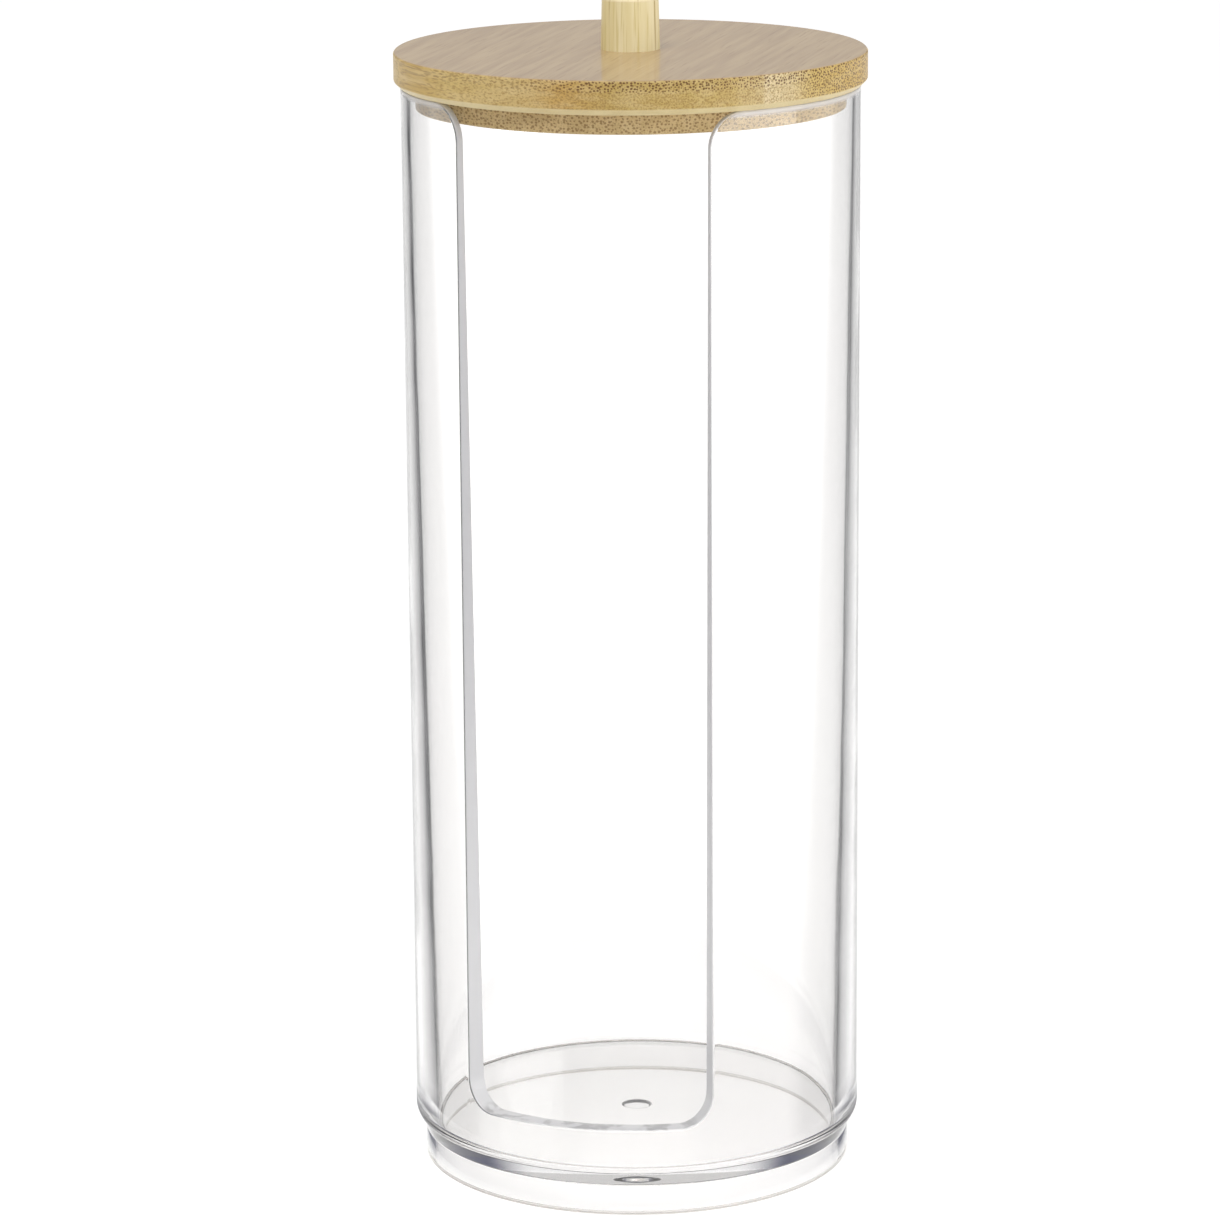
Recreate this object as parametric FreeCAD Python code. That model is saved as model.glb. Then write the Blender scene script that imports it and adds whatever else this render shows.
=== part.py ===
# Countertop cotton pad holder: a clear moulded canister with an open front slot and a stepped
# foot, closed by a bamboo lid of two glued discs with a turned peg knob.
# Millimetres, +Z up. The origin is the centre of the foot's underside, and the slot faces -Y.

import FreeCAD, Part
import math
import os

# Canister, one clear moulding
tube_diameter = 70.0
canister_height = 169.8
rim_wall = 1.3
base_wall = 3.2
floor_thickness = 2.0
floor_recess = 5.0
floor_corner_radius = 1.0
foot_height = 4.6
foot_wall = 1.5
shoulder_height = 3.1
gate_dimple_diameter = 4.7
gate_dimple_depth = 0.7
edge_bevel = 0.4

# Front slot, open at the rim
slot_width = 38.5
slot_sill_height = 14.2
slot_foot_radius = 5.0
slot_mouth_radius = 5.5

# Lid, two bamboo discs glued face to face
lid_overhang = 1.0
lid_disc_thickness = 5.2
lid_top_edge_radius = 0.4
lid_lower_chamfer = 0.9
lid_plug_thickness = 3.2
lid_plug_chamfer = 0.4

# Knob, a tapered peg with a turned tenon
knob_base_diameter = 9.0
knob_top_diameter = 8.6
knob_height = 8.0
knob_top_edge_radius = 0.5
tenon_diameter = 5.0
socket_floor = 1.2

# Clearances
stacking_clearance = 0.2
plug_clearance = 0.9
glue_gap = 0.05
tenon_end_gap = 0.3

# Derived places
tube_radius = tube_diameter / 2
rim_inner_radius = tube_radius - rim_wall
foot_radius = rim_inner_radius - stacking_clearance
foot_inner_radius = foot_radius - foot_wall
shoulder_top = foot_height + shoulder_height
floor_top = floor_recess + floor_thickness
floor_radius = tube_radius - base_wall
slot_half_angle = math.degrees(math.asin(slot_width / 2 / tube_radius))
lid_radius = tube_radius + lid_overhang
lid_top = canister_height + lid_disc_thickness
plug_radius = rim_inner_radius - plug_clearance
socket_radius = tenon_diameter / 2 + glue_gap
socket_depth = lid_disc_thickness - socket_floor
tenon_length = socket_depth - tenon_end_gap

ORIGIN = FreeCAD.Vector(0, 0, 0)
UP = FreeCAD.Vector(0, 0, 1)
FULL_TURN = 360.0
FRONT = -90.0
TOLERANCE = 1e-4
# A broken edge takes at most this share of the wall that it is on.
LARGEST_EDGE_SHARE = 0.4


def section(outline):
    """The flat face inside an outline of (radius, height) corners, in the XZ plane."""
    corners = [FreeCAD.Vector(radius, 0, height) for radius, height in outline]
    return Part.Face(Part.makePolygon(corners + corners[:1]))


def turned(outline, angle=FULL_TURN):
    """The solid that an outline sweeps round the Z axis."""
    return section(outline).revolve(ORIGIN, UP, angle)


def ring_edges(shape, radius, height):
    """The circles and arcs round the Z axis at one radius and height."""
    found = []
    for edge in shape.Edges:
        if edge.Degenerated or not isinstance(edge.Curve, Part.Circle):
            continue
        curve = edge.Curve
        on_axis = math.hypot(curve.Center.x, curve.Center.y) < TOLERANCE
        level = abs(curve.Center.z - height) < TOLERANCE
        if on_axis and level and abs(curve.Radius - radius) < TOLERANCE:
            found.append(edge)
    return found


def radial_edges(shape, height):
    """The straight edges at one height that point at the Z axis."""
    found = []
    for edge in shape.Edges:
        if edge.Degenerated or not isinstance(edge.Curve, Part.Line):
            continue
        start, end = [vertex.Point for vertex in edge.Vertexes]
        level = abs(start.z - height) < TOLERANCE and abs(end.z - height) < TOLERANCE
        if level and abs(start.x * end.y - start.y * end.x) < TOLERANCE:
            found.append(edge)
    return found


def make_canister():
    """Foot, shoulder, tapering wall and floor in one turn, with the slot cut out of the front."""
    body = turned([
        (0, floor_recess),
        (foot_inner_radius, floor_recess),
        (foot_inner_radius, 0),
        (foot_radius, 0),
        (foot_radius, foot_height),
        (tube_radius, shoulder_top),
        (tube_radius, canister_height),
        (rim_inner_radius, canister_height),
        (floor_radius, floor_top),
        (0, floor_top),
    ])
    body = body.makeFillet(floor_corner_radius, ring_edges(body, floor_radius, floor_top))
    foot_bevel = min(edge_bevel, foot_wall * LARGEST_EDGE_SHARE)
    foot_edges = ring_edges(body, foot_radius, 0) + ring_edges(body, foot_inner_radius, 0)
    body = body.makeChamfer(foot_bevel, foot_edges)

    # The gate mark is a shallow cap of a ball, pressed into the floor from below.
    half_width = gate_dimple_diameter / 2
    ball_radius = (half_width ** 2 + gate_dimple_depth ** 2) / (2 * gate_dimple_depth)
    ball_centre = FreeCAD.Vector(0, 0, floor_recess + gate_dimple_depth - ball_radius)
    body = body.cut(Part.makeSphere(ball_radius, ball_centre))

    # The slot is a wedge round the axis, so both of its cut faces point at the axis.
    wedge = turned([
        (floor_radius / 2, slot_sill_height),
        (lid_radius, slot_sill_height),
        (lid_radius, lid_top),
        (floor_radius / 2, lid_top),
    ], 2 * slot_half_angle)
    wedge.rotate(ORIGIN, UP, FRONT - slot_half_angle)
    body = body.cut(wedge)
    body = body.makeFillet(slot_foot_radius, radial_edges(body, slot_sill_height))
    body = body.makeFillet(slot_mouth_radius, radial_edges(body, canister_height))

    # One fine bevel runs along the rim, round the mouth, down the slot and across its sill.
    rim_bevel = min(edge_bevel, rim_wall * LARGEST_EDGE_SHARE)
    rim_edges = ring_edges(body, tube_radius, canister_height)
    rim_edges += ring_edges(body, rim_inner_radius, canister_height)
    return body.makeChamfer(rim_bevel, rim_edges)


def make_lid_disc():
    """The upper disc, which overhangs the rim, with a blind socket for the knob's tenon."""
    disc = turned([
        (0, canister_height),
        (lid_radius - lid_lower_chamfer, canister_height),
        (lid_radius, canister_height + lid_lower_chamfer),
        (lid_radius, lid_top),
        (socket_radius, lid_top),
        (socket_radius, lid_top - socket_depth),
        (0, lid_top - socket_depth),
    ])
    return disc.makeFillet(lid_top_edge_radius, ring_edges(disc, lid_radius, lid_top))


def make_lid_plug():
    """The lower disc, which drops inside the rim and keeps the lid in place."""
    plug_bottom = canister_height - lid_plug_thickness
    return turned([
        (0, plug_bottom),
        (plug_radius - lid_plug_chamfer, plug_bottom),
        (plug_radius, plug_bottom + lid_plug_chamfer),
        (plug_radius, canister_height),
        (0, canister_height),
    ])


def make_knob():
    """The peg, which tapers to its top, and the tenon that is glued into the lid."""
    knob_top = lid_top + knob_height
    knob = turned([
        (0, lid_top - tenon_length),
        (tenon_diameter / 2, lid_top - tenon_length),
        (tenon_diameter / 2, lid_top),
        (knob_base_diameter / 2, lid_top),
        (knob_top_diameter / 2, knob_top),
        (0, knob_top),
    ])
    return knob.makeFillet(knob_top_edge_radius, ring_edges(knob, knob_top_diameter / 2, knob_top))


pieces = {
    "canister": make_canister(),
    "lid_disc": make_lid_disc(),
    "lid_plug": make_lid_plug(),
    "knob": make_knob(),
}

os.makedirs("parts", exist_ok=True)
for name, shape in pieces.items():
    shape.exportStep(f"parts/{name}.step")
    box = shape.BoundBox
    print(f"{name}: valid {shape.isValid()}, solids {len(shape.Solids)}, faces {len(shape.Faces)},"
          f" volume {shape.Volume:.1f} mm3, z {box.ZMin:.2f} to {box.ZMax:.2f}")
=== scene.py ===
# A clear cotton pad holder with a bamboo lid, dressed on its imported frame.
# The frame is in metres, +Z up, and the slot faces -Y. Pieces are modelled in millimetres and
# brought to metres when they are done.

import math

import bmesh
import bpy
from mathutils import Matrix


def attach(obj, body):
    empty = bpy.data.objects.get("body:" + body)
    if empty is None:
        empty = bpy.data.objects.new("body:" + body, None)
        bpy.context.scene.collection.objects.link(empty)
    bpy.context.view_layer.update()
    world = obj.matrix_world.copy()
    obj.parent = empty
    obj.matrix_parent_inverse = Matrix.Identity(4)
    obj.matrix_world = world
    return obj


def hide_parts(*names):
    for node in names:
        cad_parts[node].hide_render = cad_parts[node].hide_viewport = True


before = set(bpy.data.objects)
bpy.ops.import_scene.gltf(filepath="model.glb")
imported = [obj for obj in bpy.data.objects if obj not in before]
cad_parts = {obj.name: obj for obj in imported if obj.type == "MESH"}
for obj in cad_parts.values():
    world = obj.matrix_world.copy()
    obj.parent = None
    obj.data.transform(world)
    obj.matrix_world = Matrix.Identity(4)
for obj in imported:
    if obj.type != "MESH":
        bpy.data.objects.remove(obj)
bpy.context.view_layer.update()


# Canister
# One clear injection moulding of hard plastic: a round wall that thickens towards the floor, with
# an open slot down its front, a floor with the round mark of the gate, and a stepped ring foot
# below a sloped shoulder. It stands on its foot and nothing is fixed to it.
tube_radius = 35.0
canister_height = 169.8
rim_wall = 1.3
base_wall = 3.2
floor_top = 7.0
floor_recess = 5.0
floor_corner_radius = 1.0
floor_corner_steps = 8
recess_round = 0.4
foot_radius = 33.5
foot_inner_radius = 32.0
foot_height = 4.6
foot_edge_round = 0.3
foot_top_round = 0.2
shoulder_top = 7.7
shoulder_round = 0.35
slot_width = 38.5
slot_half_width = tube_radius * math.asin(slot_width / 2 / tube_radius)
slot_sill = 14.2
slot_foot_radius = 5.0
slot_mouth_radius = 5.5
slot_corner_steps = 20
gate_radius = 2.35
gate_depth = 0.7
gate_step = 0.22
gate_draft = 0.15
gate_rings = 6
edge_round = 0.35
edge_steps = 4
columns = 288
wall_start = 10.5
taper = (base_wall - rim_wall) / (canister_height - floor_top)
wall_at_start = base_wall - taper * (wall_start - floor_top)
millimetre = 0.001
near_enough = 0.01
merge_distance = 0.002
cut_distance = 0.001


def pick(kind, wanted):
    """In edit mode, selects only the verts, edges or faces that the test wants."""
    bpy.ops.mesh.select_mode(type=kind)
    bpy.ops.mesh.select_all(action="DESELECT")
    mesh = bmesh.from_edit_mesh(bpy.context.object.data)
    mesh.normal_update()
    parts = {"VERT": mesh.verts, "EDGE": mesh.edges, "FACE": mesh.faces}[kind]
    for part in parts:
        if wanted(part):
            part.select_set(True)
    mesh.select_flush_mode()
    bmesh.update_edit_mesh(bpy.context.object.data)


def lie_on(part, test):
    """True if every corner of an edge or face passes the test."""
    return all(test(vert.co) for vert in part.verts)


def near(a, b):
    return abs(a - b) < near_enough


def start_edit():
    bpy.ops.object.mode_set(mode="EDIT")
    bpy.ops.mesh.select_all(action="SELECT")


def lathe(outline, rounds=()):
    """Draws an outline of (radius, height) corners on the front, rounds some and spins it."""
    bpy.ops.object.select_all(action="DESELECT")
    radius, height = outline[0]
    bpy.ops.mesh.primitive_plane_add(size=1, location=(0, 0, 0))
    start_edit()
    bpy.ops.mesh.merge(type="CENTER")
    bpy.ops.transform.translate(value=(0, -radius, height))
    for corner in outline[1:]:
        step = (0, radius - corner[0], corner[1] - height)
        bpy.ops.mesh.extrude_region_move(TRANSFORM_OT_translate={"value": step})
        radius, height = corner
    for (radius, height), size, steps in rounds:
        pick("VERT", lambda vert: near(vert.co.y, -radius) and near(vert.co.z, height))
        bpy.ops.mesh.bevel(affect="VERTICES", offset=size, segments=steps, profile=0.5)
    bpy.ops.mesh.select_all(action="SELECT")
    bpy.ops.mesh.spin(steps=columns, angle=2 * math.pi, center=(0, 0, 0), axis=(0, 0, 1))
    bpy.ops.mesh.select_all(action="SELECT")
    bpy.ops.mesh.remove_doubles(threshold=merge_distance)
    bpy.ops.object.mode_set(mode="OBJECT")
    return bpy.context.object


# The underside, foot and shoulder up to the plain wall, and the floor with its rounded corner.
gate_curve = []
for step in range(gate_rings + 1):
    share = step / gate_rings
    rise = gate_depth - (gate_depth - gate_step) * share ** 2
    gate_curve.append(((gate_radius - gate_draft) * share, floor_recess + rise))
underside = lathe(
    gate_curve + [
        (gate_radius, floor_recess),
        (foot_inner_radius, floor_recess),
        (foot_inner_radius, 0),
        (foot_radius, 0),
        (foot_radius, foot_height),
        (tube_radius, shoulder_top),
        (tube_radius, wall_start),
    ],
    [
        ((foot_inner_radius, floor_recess), recess_round, 4),
        ((foot_inner_radius, 0), foot_edge_round, 4),
        ((foot_radius, 0), foot_edge_round, 4),
        ((foot_radius, foot_height), foot_top_round, 3),
        ((tube_radius, shoulder_top), shoulder_round, 4),
    ],
)
floor_face = lathe(
    [
        (0, floor_top),
        (tube_radius - base_wall, floor_top),
        (tube_radius - wall_at_start, wall_start),
    ],
    [((tube_radius - base_wall, floor_top), floor_corner_radius, floor_corner_steps)],
)

# The wall starts as a flat sheet with the slot's outline, seen from outside, slot in the middle.
bpy.ops.object.select_all(action="DESELECT")
half_girth = math.pi * tube_radius
bpy.ops.mesh.primitive_plane_add(size=1)
canister = bpy.context.object
start_edit()
bpy.ops.transform.rotate(value=-math.pi / 2, orient_axis="X", center_override=(0, 0, 0))
bpy.ops.transform.resize(value=(2 * half_girth, 1, canister_height - wall_start))
bpy.ops.transform.translate(value=(0, 0, (canister_height + wall_start) / 2))
for place, normal in (
    ((-slot_half_width, 0, 0), (1, 0, 0)),
    ((slot_half_width, 0, 0), (1, 0, 0)),
    ((0, 0, slot_sill), (0, 0, 1)),
):
    bpy.ops.mesh.select_all(action="SELECT")
    bpy.ops.mesh.bisect(plane_co=place, plane_no=normal, threshold=cut_distance)
pick("FACE", lambda face: lie_on(face, lambda point: abs(point.x) < slot_half_width + near_enough
                                 and point.z > slot_sill - near_enough))
bpy.ops.mesh.delete(type="FACE")
bpy.ops.mesh.select_all(action="SELECT")
bpy.ops.mesh.dissolve_limited(angle_limit=0.01)
for height, size in ((slot_sill, slot_foot_radius), (canister_height, slot_mouth_radius)):
    pick("VERT", lambda vert: near(abs(vert.co.x), slot_half_width) and near(vert.co.z, height))
    bpy.ops.mesh.bevel(affect="VERTICES", offset=size, segments=slot_corner_steps, profile=0.5)

# The sheet gets its thickness, thinner towards the rim, and a rounded edge round rim and slot.
bpy.ops.mesh.select_all(action="SELECT")
bpy.ops.mesh.extrude_region_move(TRANSFORM_OT_translate={"value": (0, wall_at_start, 0)})
draft = math.atan(taper)
hinge = (0, wall_at_start, wall_start)
bpy.ops.transform.rotate(value=-draft, orient_axis="X", center_override=hinge)
bpy.ops.transform.resize(value=(1, 1, 1 / math.cos(draft)), center_override=hinge)
bpy.ops.mesh.select_all(action="SELECT")
bpy.ops.mesh.normals_make_consistent(inside=False)
pick("FACE", lambda face: lie_on(face, lambda point: near(point.z, wall_start))
     or lie_on(face, lambda point: near(point.x, half_girth))
     or lie_on(face, lambda point: near(point.x, -half_girth)))
bpy.ops.mesh.delete(type="FACE")
pick("EDGE", lambda edge: len(edge.link_faces) == 2 and edge.calc_face_angle() > 1.0)
bpy.ops.mesh.bevel(offset=edge_round, segments=edge_steps, profile=0.5, affect="EDGES")

# Upright cuts let the slab roll up into a round wall that meets the foot and the floor.
for column in range(1 - columns // 2, columns // 2):
    bpy.ops.mesh.select_all(action="SELECT")
    place = (half_girth * 2 * column / columns, 0, 0)
    bpy.ops.mesh.bisect(plane_co=place, plane_no=(1, 0, 0), threshold=cut_distance)
bpy.ops.object.mode_set(mode="OBJECT")
roll = canister.modifiers.new("roll", "SIMPLE_DEFORM")
roll.deform_method = "BEND"
roll.deform_axis = "Z"
roll.angle = 2 * math.pi
bpy.ops.object.modifier_apply(modifier=roll.name)
start_edit()
bpy.ops.transform.translate(value=(0, -tube_radius, 0))
bpy.ops.object.mode_set(mode="OBJECT")
for piece in (underside, floor_face, canister):
    piece.select_set(True)
bpy.context.view_layer.objects.active = canister
bpy.ops.object.join()
start_edit()
bpy.ops.mesh.remove_doubles(threshold=merge_distance)


def finish_piece(piece, name):
    """Turns a piece's faces outwards, brings it to metres and shades only its curves smooth."""
    bpy.ops.object.mode_set(mode="OBJECT")
    bpy.ops.object.select_all(action="DESELECT")
    piece.select_set(True)
    bpy.context.view_layer.objects.active = piece
    start_edit()
    bpy.ops.mesh.normals_make_consistent(inside=False)
    to_metres = (millimetre, millimetre, millimetre)
    bpy.ops.transform.resize(value=to_metres, center_override=(0, 0, 0))
    bpy.ops.object.mode_set(mode="OBJECT")
    bpy.ops.object.shade_smooth_by_angle(angle=math.radians(40))
    flats = piece.modifiers.new("flats", "WEIGHTED_NORMAL")
    flats.mode = "FACE_AREA"
    flats.weight = 100
    flats.keep_sharp = True
    bpy.ops.object.modifier_apply(modifier=flats.name)
    piece.name = name
    piece.data.name = name


class Shade:
    """A socket in a finish's node tree. Arithmetic on it adds Math nodes."""

    def __init__(self, tree, socket=None):
        self.tree = tree
        self.socket = socket

    def node(self, kind, settings, sockets):
        """Adds a node: its settings come first, then the values or links of its sockets."""
        made = self.tree.nodes.new("ShaderNode" + kind)
        for name, setting in settings.items():
            if name == "stops":
                stops = made.color_ramp.elements
                while len(stops) < len(setting):
                    stops.new(0.5)
                for stop, (position, colour) in zip(stops, setting):
                    stop.position = position
                    stop.color = colour
            else:
                setattr(made, name, setting)
        for name, given in sockets.items():
            if isinstance(given, Shade):
                self.tree.links.new(given.socket, made.inputs[name])
            else:
                made.inputs[name].default_value = given
        outputs = [socket for socket in made.outputs if socket.enabled]
        return Shade(self.tree, outputs[0] if outputs else None)

    def out(self, name):
        """Another output of the node that this socket is on."""
        return Shade(self.tree, self.socket.node.outputs[name])

    def maths(self, operation, *terms):
        return self.node("Math", {"operation": operation}, dict(enumerate(terms)))

    def __add__(self, other):
        return self.maths("ADD", self, other)

    def __radd__(self, other):
        return self.maths("ADD", other, self)

    def __sub__(self, other):
        return self.maths("SUBTRACT", self, other)

    def __rsub__(self, other):
        return self.maths("SUBTRACT", other, self)

    def __mul__(self, other):
        return self.maths("MULTIPLY", self, other)

    def __rmul__(self, other):
        return self.maths("MULTIPLY", other, self)

    def __truediv__(self, other):
        return self.maths("DIVIDE", self, other)

    def larger(self, other):
        return self.maths("MAXIMUM", self, other)

    def rise(self, low, high):
        """Goes smoothly from 0 at low to 1 at high, and high may lie below low."""
        return self.node("MapRange", {"interpolation_type": "SMOOTHSTEP"},
                         {"Value": self, "From Min": low, "From Max": high})

    def mix(self, first, second):
        """The first colour where this is 0 and the second where it is 1."""
        return self.node("Mix", {"data_type": "RGBA"}, {0: self, 6: first, 7: second})

    def axis(self, name):
        """The X, Y or Z of a vector."""
        return self.node("SeparateXYZ", {}, {"Vector": self}).out(name)

    def toward(self, direction):
        """How far a vector reaches in a direction."""
        return self.node("VectorMath", {"operation": "DOT_PRODUCT"},
                         {0: self, 1: direction}).out("Value")

    def length(self):
        return self.node("VectorMath", {"operation": "LENGTH"}, {0: self}).out("Value")

    def normal(self):
        """The direction that the surface faces."""
        return self.node("NewGeometry", {}, {}).out("Normal")


def start_finish(name):
    """A new material, and the place on the piece in millimetres that its patterns start from."""
    material = bpy.data.materials.new(name)
    material.use_nodes = True
    material.node_tree.nodes.clear()
    place = Shade(material.node_tree).node("TexCoord", {}, {}).out("Object")
    place = place.node("VectorMath", {"operation": "SCALE"},
                       {"Vector": place, "Scale": 1 / millimetre})
    return material, place


def tone(red, green, blue):
    """A colour from its everyday 0 to 255 values, as the linear light that shaders use."""
    shares = [level / 255 for level in (red, green, blue)]
    linear = [s / 12.92 if s <= 0.04045 else ((s + 0.055) / 1.055) ** 2.4 for s in shares]
    return (*linear, 1.0)


finish_piece(canister, "canister_moulding")

# Clear plastic, which only tints light that runs a long way through it, as round the floor. The
# faces of the slot and rim keep the satin of the mould's shut-offs, the foot is frosted where it
# stands, and slow waves in the polished walls bend the reflections a little.
clear_plastic, place = start_finish("clear_plastic")
height = place.axis("Z")
outward = place.node("VectorMath", {"operation": "MULTIPLY"}, {0: place, 1: (1, 1, 0)})
radius = outward.length()
outward = place.node("VectorMath", {"operation": "NORMALIZE"}, {0: outward})
facing = outward.toward(place.normal())
above_sill = height.rise(slot_sill - 0.6, slot_sill - 0.2)
satin = place.maths("ABSOLUTE", facing).rise(0.97, 0.5) * above_sill
rim_frost = 0.75 * height.rise(canister_height - 1.3, canister_height - 0.4)
frost = rim_frost.larger(height.rise(0.45, 0.15))
gate_mark = radius.rise(gate_radius + 0.15, gate_radius - 0.05)
gate_mark = gate_mark * height.rise(floor_recess + 0.9, floor_recess + 0.8)
satin = satin.larger(frost).larger(0.35 * gate_mark)
waves = place.node("TexNoise", {}, {"Vector": place, "Scale": 0.05, "Detail": 1.0})
plastic_tone = waves.mix(tone(253, 253, 252), tone(255, 254, 254))
plastic_bump = place.node("Bump", {}, {"Height": waves, "Strength": 0.04, "Distance": 0.001})
plastic = place.node("BsdfPrincipled", {}, {
    "Base Color": plastic_tone,
    "Roughness": 0.005 + 0.01 * waves + 0.15 * satin,
    "IOR": 1.55,
    "Transmission Weight": 1.0,
    "Normal": plastic_bump,
})
# Painted light and shade: the satin faces are paler low on the wall and greyer high up.
painted_light_low_wall = height.rise(110, 30) * height.rise(6, 9)
satin_tone = painted_light_low_wall.mix(tone(207, 207, 210), tone(233, 233, 235))
# Painted shade: darker patches on the sill stand in for the dark spots that bent light leaves
# there.
painted_sill_spots = place.node("TexNoise", {}, {"Vector": place, "Scale": 0.45, "Detail": 2.0})
sill = height.rise(slot_sill + 1.2, slot_sill + 0.2) * above_sill
satin_tone = (0.6 * sill * painted_sill_spots.rise(0.45, 0.65)).mix(satin_tone, tone(158, 158, 160))
# Painted shade: a darker outline round the step of the gate mark.
painted_gate_shade = radius.rise(gate_radius - 0.35, gate_radius - gate_draft)
painted_gate_shade = painted_gate_shade * height.rise(floor_recess + 1.2, floor_recess + 1.0)
satin_tone = painted_gate_shade.mix(satin_tone, tone(172, 170, 168))
matt = place.node("BsdfPrincipled", {}, {
    "Base Color": frost.mix(satin_tone, tone(240, 236, 231)),
    "Roughness": 0.4,
})
plastic = place.node("MixShader", {}, {0: 0.8 * satin, 1: plastic, 2: matt})
shadow = place.node("BsdfTransparent", {}, {"Color": (0.945, 0.94, 0.932, 1)})
rays = place.node("LightPath", {}, {}).out("Is Shadow Ray")
plastic = place.node("MixShader", {}, {0: rays, 1: plastic, 2: shadow})
tint = place.node("VolumeAbsorption", {}, {"Color": (0.84, 0.83, 0.84, 1), "Density": 10.0})
place.node("OutputMaterial", {}, {"Surface": plastic, "Volume": tint})
canister.data.materials.append(clear_plastic)
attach(canister, "canister")
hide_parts("canister")


# Lid disc
# The upper disc of the lid, cut from laminated bamboo board. Its top edge is eased, its lower edge
# has a sanded chamfer, and a blind socket in its top takes the knob. It is glued to the plug.
lid_radius = 36.0
lid_top = 175.0
lid_chamfer = 0.9
lid_chamfer_round = 0.12
lid_edge_round = 0.4
socket_radius = 2.55
socket_depth = 4.0
lid_sides = 256
edge_grain = 39
face_grain = 0


def start_disc(radius, bottom, top):
    """A plain round disc of board, in edit mode."""
    bpy.ops.object.select_all(action="DESELECT")
    bpy.ops.mesh.primitive_cylinder_add(
        vertices=lid_sides, radius=radius, depth=top - bottom,
        location=(0, 0, (top + bottom) / 2), end_fill_type="NGON")
    bpy.ops.object.transform_apply(location=True, rotation=True, scale=True)
    start_edit()
    return bpy.context.object


def rim_of(edge, radius, height):
    return lie_on(edge, lambda point: near(point.z, height)
                  and abs(math.hypot(point.x, point.y) - radius) < 2 * near_enough)


lid_disc = start_disc(lid_radius, canister_height, lid_top)
pick("FACE", lambda face: lie_on(face, lambda point: near(point.z, lid_top)))
bpy.ops.mesh.inset(thickness=lid_radius - socket_radius, depth=0)
bpy.ops.mesh.extrude_region_move(TRANSFORM_OT_translate={"value": (0, 0, -socket_depth)})
pick("EDGE", lambda edge: rim_of(edge, lid_radius, lid_top))
bpy.ops.mesh.bevel(offset=lid_edge_round, segments=5, profile=0.5, affect="EDGES")
pick("EDGE", lambda edge: rim_of(edge, lid_radius, canister_height))
bpy.ops.mesh.bevel(offset=lid_chamfer, segments=1, affect="EDGES")
pick("EDGE", lambda edge: rim_of(edge, lid_radius, canister_height + lid_chamfer)
     or rim_of(edge, lid_radius - lid_chamfer, canister_height))
bpy.ops.mesh.bevel(offset=lid_chamfer_round, segments=2, profile=0.5, affect="EDGES")
finish_piece(lid_disc, "lid_disc_bamboo")


def along_grain(place, angle):
    """Distances along and across a level grain, whose front end lies that angle from the front."""
    turn = math.radians(angle)
    along = place.toward((math.sin(turn), -math.cos(turn), 0))
    across = place.toward((math.cos(turn), math.sin(turn), 0))
    return along, across


def cloud(first, second, third, detail=2.0):
    """Soft noise over three distances, each already divided by the size of its patches."""
    spread = first.node("CombineXYZ", {}, {"X": first, "Y": second, "Z": third})
    return first.node("TexNoise", {}, {"Vector": spread, "Scale": 1.0, "Detail": detail})


def fibre_ends(first, second, size):
    """Dark dots where bundles of fibre end, spread over two distances in bundle spacings."""
    spread = first.node("CombineXYZ", {}, {"X": first, "Y": second})
    cells = first.node("TexVoronoi", {"voronoi_dimensions": "2D"},
                       {"Vector": spread, "Scale": 1.0, "Randomness": 0.8})
    reach = cells.out("Distance")
    lot = cells.out("Color").axis("X")
    return (reach - (0.7 + 0.6 * lot) * size).rise(0.07, -0.07)


lid_bamboo, place = start_finish("lid_bamboo")
height = place.axis("Z")
along, across = along_grain(place, edge_grain)
drift = cloud(along / 14, across / 20, height / 6)
bent = across + 0.9 * (drift - 0.5)
level = height + 0.5 * (drift.out("Color").axis("Y") - 0.5)

# The edge: strips of their own tone, dark fibre ends that crowd under the top face, and fine
# flecks below them.
strips = across.node("ValToRGB", {"stops": [
    (0.0, tone(193, 161, 88)),
    (0.02, tone(202, 175, 108)),
    (0.10, tone(198, 171, 110)),
    (0.17, tone(191, 154, 82)),
    (0.26, tone(183, 156, 86)),
    (0.50, tone(193, 167, 100)),
    (0.565, tone(204, 182, 130)),
    (0.572, tone(220, 202, 160)),
    (0.64, tone(214, 194, 146)),
    (0.70, tone(204, 176, 100)),
    (0.86, tone(206, 172, 90)),
    (1.0, tone(202, 170, 96)),
]}, {"Fac": (across + lid_radius) / (2 * lid_radius)})
patches = cloud(along / 9, across / 3.2, height / 1.1)
strips = (0.4 * patches.rise(0.35, 0.75)).mix(strips, tone(218, 196, 146))
streaks = cloud(along / 8, across / 0.24, height / 0.24, 1.0)
strips = (0.75 * streaks.rise(0.46, 0.7)).mix(strips, tone(162, 130, 72))
crowded = height.rise(lid_top - 2.1, lid_top - 1.4)
strong = across.rise(11.0, 14.0)
cut_across = 0.35 + 0.65 * across.rise(-31.0, -20.0)
dense = 0.2 + 0.8 * crowded.larger(0.8 * strong)
large_ends = fibre_ends(bent / 0.48, level / 0.43, 0.29) * dense * cut_across
sparse = 0.3 + 0.3 * patches.rise(0.6, 0.4) - 0.2 * crowded
small_ends = fibre_ends(bent / 0.42 + 7.3, level / 0.4 + 3.1, 0.26) * sparse * cut_across
edge = small_ends.mix(strips, tone(144, 108, 50))
edge = (0.92 * large_ends).mix(edge, tone(92, 54, 8))
# Painted light: the lower chamfer is paler, as if lit by the white floor below.
painted_chamfer_light = height.rise(canister_height + 1.05, canister_height + 0.8)
edge = (painted_chamfer_light * (0.6 + 0.4 * patches)).mix(edge, tone(230, 212, 162))

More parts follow.
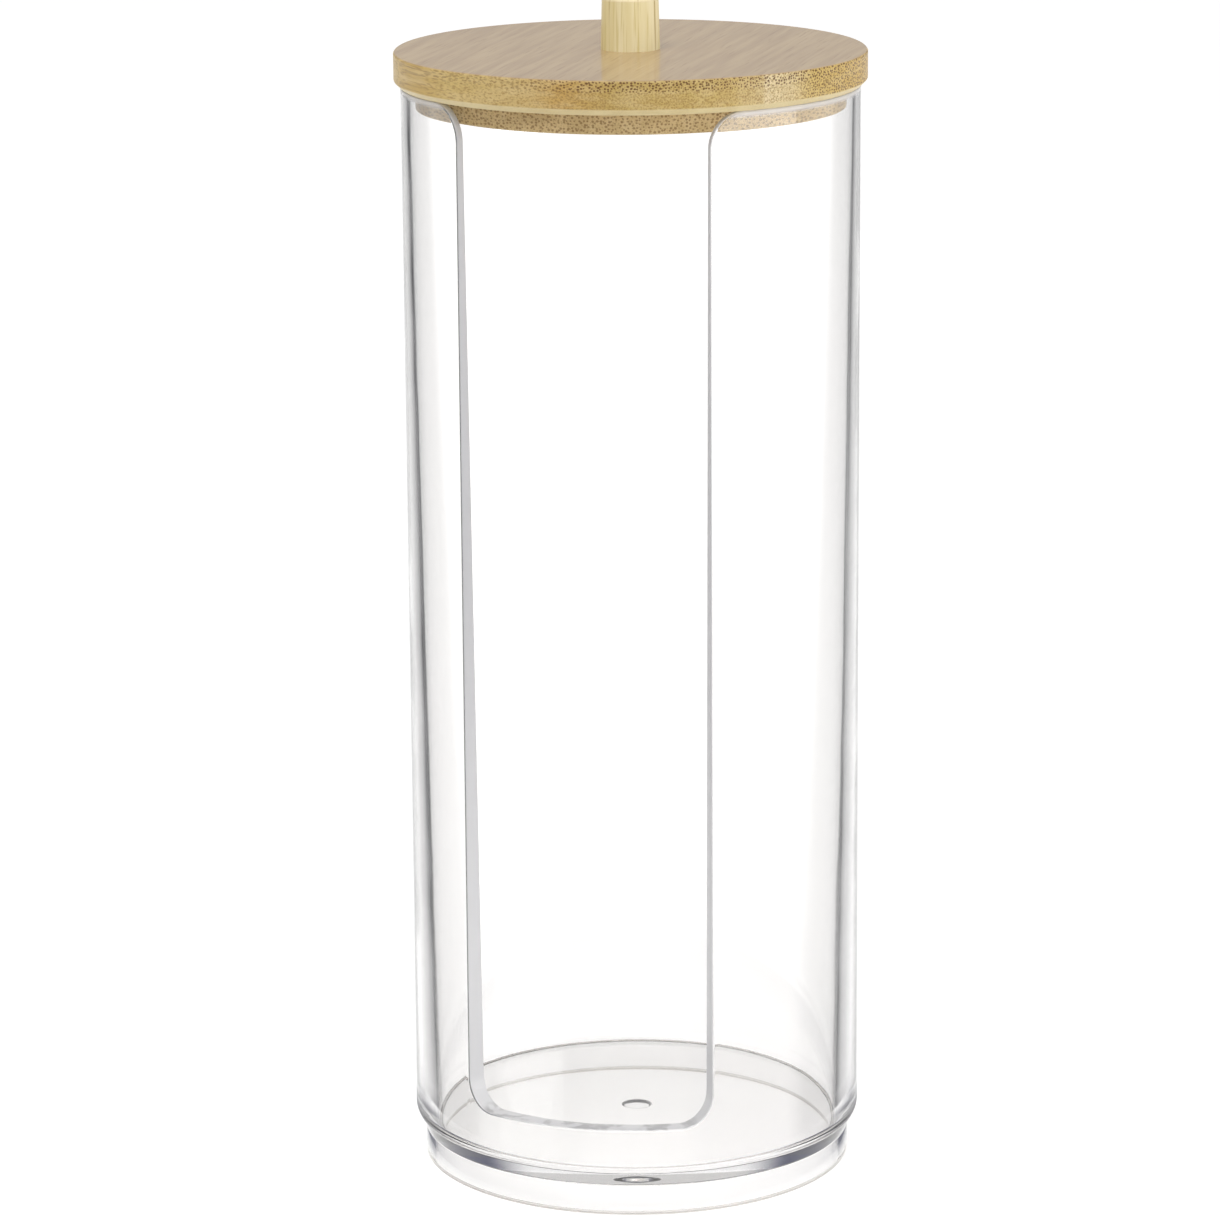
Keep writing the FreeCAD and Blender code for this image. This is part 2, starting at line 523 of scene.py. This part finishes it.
# The top face: long streaks, which lie at their own angle, under the lacquer.
face_along, face_across = along_grain(place, face_grain)
veins = cloud(face_along / 30, face_across / 1.8, height)
threads = cloud(face_along / 9, face_across / 0.4, height)
face = veins.rise(0.3, 0.7).mix(tone(182, 153, 108), tone(165, 134, 91))
face = (0.65 * threads.rise(0.59, 0.74)).mix(face, tone(138, 106, 68))
top = place.normal().axis("Z").rise(0.6, 0.9)
relief = (1 - large_ends) * (1 - top) + top * (1 - 0.5 * threads)
lid_bump = place.node("Bump", {}, {"Height": relief, "Strength": 0.12, "Distance": 0.0002})
bamboo = place.node("BsdfPrincipled", {}, {
    "Base Color": top.mix(edge, face),
    "Roughness": 0.4 + 0.12 * threads,
    "IOR": 1.48,
    "Coat Weight": 0.05 + 0.6 * top,
    "Coat Roughness": 0.1,
    "Normal": lid_bump,
})
place.node("OutputMaterial", {}, {"Surface": bamboo})
lid_disc.data.materials.append(lid_bamboo)
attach(lid_disc, "lid")
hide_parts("lid_disc")


# Lid plug
# The lower disc of the lid, of the same bamboo board, glued under the upper one. It drops inside
# the rim of the canister with a little play and keeps the lid in place. Its lower edge is broken.
plug_radius = 32.8
plug_bottom = 166.6
plug_chamfer = 0.4
plug_grain = 12

lid_plug = start_disc(plug_radius, plug_bottom, canister_height)
pick("EDGE", lambda edge: rim_of(edge, plug_radius, plug_bottom))
bpy.ops.mesh.bevel(offset=plug_chamfer, segments=3, profile=0.5, affect="EDGES")
finish_piece(lid_plug, "lid_plug_bamboo")

# Fibre ends show round the edge, and long threads on the underside.
plug_bamboo, place = start_finish("plug_bamboo")
height = place.axis("Z")
along, across = along_grain(place, plug_grain)
drift = cloud(along / 14, across / 20, height / 6)
bent = across + 0.9 * (drift - 0.5)
under = place.normal().axis("Z").rise(-0.6, -0.9)
plug_ends = fibre_ends(bent / 0.6, height / 0.54, 0.28) * (1 - under)
plug_flecks = fibre_ends(bent / 0.42 + 4.1, height / 0.4 + 8.2, 0.26) * (1 - under)
patches = cloud(along / 8, across / 4, height / 2)
veins = cloud(along / 24, across / 1.4, height / 3)
threads = cloud(along / 9, across / 0.4, height)
plug_tone = patches.rise(0.3, 0.7).mix(tone(204, 178, 128), tone(190, 164, 114))
plug_tone = (0.4 * veins.rise(0.5, 0.75)).mix(plug_tone, tone(216, 194, 148))
plug_tone = (0.6 * under * threads.rise(0.57, 0.72)).mix(plug_tone, tone(154, 122, 76))
plug_tone = (0.4 * plug_flecks).mix(plug_tone, tone(150, 118, 68))
plug_tone = (0.7 * plug_ends).mix(plug_tone, tone(124, 92, 48))
plug_bump = place.node("Bump", {}, {"Height": 1 - plug_ends, "Strength": 0.12, "Distance": 0.0002})
bamboo = place.node("BsdfPrincipled", {}, {
    "Base Color": plug_tone,
    "Roughness": 0.42 + 0.15 * patches,
    "IOR": 1.48,
    "Normal": plug_bump,
})
place.node("OutputMaterial", {}, {"Surface": bamboo})
lid_plug.data.materials.append(plug_bamboo)
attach(lid_plug, "lid")
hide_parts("lid_plug")


# Knob
# A peg turned from a bamboo stick, a little slimmer at its top, with its top edge eased. The tenon
# below it is glued into the lid's socket. The stick's fibres show as fine upright lines.
knob_base_radius = 4.5
knob_top_radius = 4.3
knob_top = 183.0
knob_edge_round = 0.5
knob_sides = 128
tenon_radius = 2.5
tenon_length = 3.7

bpy.ops.object.select_all(action="DESELECT")
bpy.ops.mesh.primitive_cone_add(
    vertices=knob_sides, radius1=knob_base_radius, radius2=knob_top_radius,
    depth=knob_top - lid_top, location=(0, 0, (knob_top + lid_top) / 2), end_fill_type="NGON")
knob = bpy.context.object
bpy.ops.object.transform_apply(location=True, rotation=True, scale=True)
start_edit()
pick("FACE", lambda face: lie_on(face, lambda point: near(point.z, lid_top)))
bpy.ops.mesh.inset(thickness=knob_base_radius - tenon_radius, depth=0)
bpy.ops.mesh.extrude_region_move(TRANSFORM_OT_translate={"value": (0, 0, -tenon_length)})
pick("EDGE", lambda edge: rim_of(edge, knob_top_radius, knob_top))
bpy.ops.mesh.bevel(offset=knob_edge_round, segments=6, profile=0.5, affect="EDGES")
finish_piece(knob, "knob_bamboo_peg")

knob_bamboo, place = start_finish("knob_bamboo")
side, depth, height = place.axis("X"), place.axis("Y"), place.axis("Z")
bands = cloud(side / 2.0, depth / 2.0, height / 40)
lines = cloud(side / 0.3, depth / 0.3, height / 26)
knob_ends = fibre_ends(side / 1.5, depth / 1.5, 0.1)
knob_tone = bands.rise(0.3, 0.7).mix(tone(227, 212, 156), tone(241, 230, 190))
knob_tone = (0.6 * lines.rise(0.55, 0.7)).mix(knob_tone, tone(206, 188, 114))
knob_tone = (0.7 * knob_ends).mix(knob_tone, tone(170, 144, 78))
# Painted highlight: a pale line just under the knob's eased top edge.
painted_knob_highlight = height.rise(knob_top - 0.7, knob_top - 0.3)
knob_tone = (0.5 * painted_knob_highlight).mix(knob_tone, tone(238, 222, 190))
knob_bump = place.node("Bump", {}, {"Height": 1 - lines, "Strength": 0.1, "Distance": 0.0002})
bamboo = place.node("BsdfPrincipled", {}, {
    "Base Color": knob_tone,
    "Roughness": 0.36 + 0.14 * bands,
    "IOR": 1.48,
    "Normal": knob_bump,
})
place.node("OutputMaterial", {}, {"Surface": bamboo})
knob.data.materials.append(knob_bamboo)
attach(knob, "lid")
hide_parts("knob")


# Studio
# A white floor and surroundings, a long low softbox to the right of the camera and a soft light
# overhead. A painted contact shadow as a dark ring on the floor round the foot, dark cloth round
# the walls and dark sides of the sky are seen only by light that the plastic bent or bounced, so
# that its edges show from every side.
camera_turn = math.radians(14.0)
camera_right = (math.cos(camera_turn), math.sin(camera_turn), 0)
studio_radius = 3.0
white = (1, 1, 1, 1)


def is_seen(rays):
    """1 where the camera looks straight, in a reflection or through the plastic."""
    seen = rays.out("Is Camera Ray").larger(rays.out("Is Transmission Ray"))
    return seen.larger(rays.out("Is Glossy Ray"))


def has_bounced(rays):
    """1 where light has bounced off a glossy face on its way."""
    return rays.maths("MINIMUM", rays.out("Glossy Depth"), 1.0)


bpy.ops.object.select_all(action="DESELECT")
bpy.ops.mesh.primitive_circle_add(vertices=96, radius=studio_radius, fill_type="NGON")
studio_floor = bpy.context.object
studio_floor.name = "studio_floor"
floor_white, place = start_finish("floor_white")
reach = place.length()
rays = place.node("LightPath", {}, {})
grey = place.node("BsdfDiffuse", {}, {"Color": (0.8, 0.8, 0.8, 1)})
glow_tone = reach.rise(100, 900).mix((0.36, 0.36, 0.36, 1), (0.44, 0.44, 0.44, 1))
glow_tone = is_seen(rays).mix((0, 0, 0, 1), glow_tone)
glow = place.node("Emission", {}, {"Color": glow_tone, "Strength": 1.0})
floor = place.node("AddShader", {}, {0: grey, 1: glow})
# Painted shadow: a dark navy ring on the floor round the foot stands in for the contact shadow
# there, seen only by light that bounced in the plastic.
inside = reach.rise(33, 36) * rays.out("Is Transmission Ray")
cloth = inside.larger(0.6 * reach.rise(36.5, 37.5)) * reach.rise(52, 44)
painted_foot_shadow = place.node("Emission", {}, {"Color": (0.05, 0.055, 0.1, 1), "Strength": 1.0})
floor = place.node("MixShader", {}, {0: has_bounced(rays) * cloth, 1: floor, 2: painted_foot_shadow})
place.node("OutputMaterial", {}, {"Surface": floor})
studio_floor.data.materials.append(floor_white)

# The cloth round the walls, which darkens with the way that light ran from the wall to it.
ring_radius = 0.05
ring_height = 0.166
ring_lift = 0.0005
bpy.ops.object.select_all(action="DESELECT")
bpy.ops.mesh.primitive_cylinder_add(
    vertices=128, radius=ring_radius, depth=ring_height,
    location=(0, 0, ring_lift + ring_height / 2), end_fill_type="NOTHING")
studio_ring = bpy.context.object
bpy.ops.object.transform_apply(location=True, rotation=True, scale=True)
studio_ring.name = "studio_ring"
ring_cloth, place = start_finish("ring_cloth")
height = place.axis("Z")
rays = place.node("LightPath", {}, {})
past = rays.out("Ray Length") / millimetre - (24.9 + 0.0185 * height)
fading = rays.maths("MINIMUM", (1 - past / 6.6).larger(0.0), 1.0)
deep = past.rise(-0.4, 0.2) * (0.78 * fading + 0.22 * past.rise(1.5, 0.5))
faint = 0.5 * past.rise(-6.0, -4.0) * past.rise(1.0, -0.4)
clear = place.node("BsdfTransparent", {}, {})
cloth_tone = place.toward(camera_right).rise(-30, 30)
cloth_tone = cloth_tone.mix((0.02, 0.02, 0.025, 1), (0.12, 0.12, 0.125, 1))
cloth = place.node("Emission", {}, {"Color": cloth_tone, "Strength": 1.0})
dim = has_bounced(rays) * deep.larger(faint)
cloth = place.node("MixShader", {}, {0: dim, 1: clear, 2: cloth})
place.node("OutputMaterial", {}, {"Surface": cloth})
studio_ring.data.materials.append(ring_cloth)
studio_ring.visible_camera = False
studio_ring.visible_diffuse = False
studio_ring.visible_shadow = False

# The sky: white to look at, grey low down in reflections, and dark on both sides through plastic.
world = bpy.data.worlds.new("studio_white")
bpy.context.scene.world = world
world.use_nodes = True
world.node_tree.nodes.clear()
sky = Shade(world.node_tree)
rays = sky.node("LightPath", {}, {})
sky_tone = is_seen(rays).mix((0.668, 0.66, 0.655, 1), white)
bearing = sky.node("TexCoord", {}, {}).out("Generated")
climb = bearing.axis("Z")
grey_walls = climb.rise(0.1, 0.7).mix((0.54, 0.53, 0.515, 1), white)
sky_tone = has_bounced(rays).mix(sky_tone, grey_walls)
sideways = sky.maths("ABSOLUTE", bearing.toward(camera_right))
dark_sides = sideways.rise(0.34, 0.58) * climb.rise(0.12, 0.2) * climb.rise(0.75, 0.5)
sky_tone = (dark_sides * rays.out("Is Transmission Ray")).mix(sky_tone, (0.02, 0.025, 0.09, 1))
background = sky.node("Background", {}, {"Color": sky_tone, "Strength": 1.0})
sky.node("OutputWorld", {}, {"Surface": background})

softbox_turn = 66
softbox_distance = 1.0
softbox_width = 0.84
aim_height = 0.09


def stand_at(turn, distance, height):
    """A stand round the object at a turn right of the camera's bearing, and turned by it."""
    bearing = camera_turn + math.radians(turn)
    spot = (distance * math.sin(bearing), -distance * math.cos(bearing), height)
    return Matrix.Translation(spot) @ Matrix.Rotation(bearing, 4, "Z")


def add_lamp(name, turn, distance, height, width, rise, power):
    """A soft oblong lamp at a turn right of the camera, aimed at the middle of the object."""
    bpy.ops.object.light_add(type="AREA")
    lamp = bpy.context.object
    lamp.name = name
    lamp.data.shape = "RECTANGLE"
    lamp.data.size = width
    lamp.data.size_y = rise
    lamp.data.energy = power
    tilt = math.atan2(distance, height - aim_height)
    lamp.matrix_world = stand_at(turn, distance, height) @ Matrix.Rotation(tilt, 4, "X")
    return lamp


side_softbox = add_lamp("side_softbox", turn=softbox_turn, distance=softbox_distance, height=0.2,
                        width=softbox_width, rise=0.38, power=3.2)
side_softbox.visible_glossy = False
add_lamp("top_light", turn=-25, distance=0.6, height=1.2, width=1.0, rise=1.0, power=7.0)

# The lacquered lid would mirror all of the softbox, so a low card stands in for it, which only the
# upright walls mirror.
card_height = 0.08
card_lift = 0.005
bpy.ops.object.select_all(action="DESELECT")
bpy.ops.mesh.primitive_plane_add(size=1.0)
low_card = bpy.context.object
low_card.name = "low_card"
stand = stand_at(softbox_turn, softbox_distance, card_lift + card_height / 2)
upright = Matrix.Rotation(math.radians(90), 4, "X")
low_card.matrix_world = stand @ upright @ Matrix.Diagonal((softbox_width, card_height, 1.0, 1.0))
card_white, place = start_finish("card_white")
card_light = place.node("Emission", {}, {"Color": white, "Strength": 3.2})
place.node("OutputMaterial", {}, {"Surface": card_light})
low_card.data.materials.append(card_white)
low_card.visible_camera = False
low_card.visible_diffuse = False
low_card.visible_shadow = False
low_card.visible_transmission = False

# The camera stands a little to the right of the slot, above the lid, and looks down slightly.
camera_distance = 0.79
camera_height = 0.278687
camera_pan = 0.2686
camera_dip = 13.6111
camera_roll = -0.406
camera_data = bpy.data.cameras.new("photo_camera")
camera_data.lens = 154.145
camera_data.sensor_width = 36.0
photo_camera = bpy.data.objects.new("photo_camera", camera_data)
bpy.context.scene.collection.objects.link(photo_camera)
pan = Matrix.Rotation(math.radians(camera_pan), 4, "Z")
tilt = Matrix.Rotation(math.radians(90 - camera_dip), 4, "X")
roll = Matrix.Rotation(math.radians(camera_roll), 4, "Z")
photo_camera.matrix_world = stand_at(0, camera_distance, camera_height) @ pan @ tilt @ roll
bpy.context.scene.camera = photo_camera
bpy.context.scene.view_settings.view_transform = "Standard"
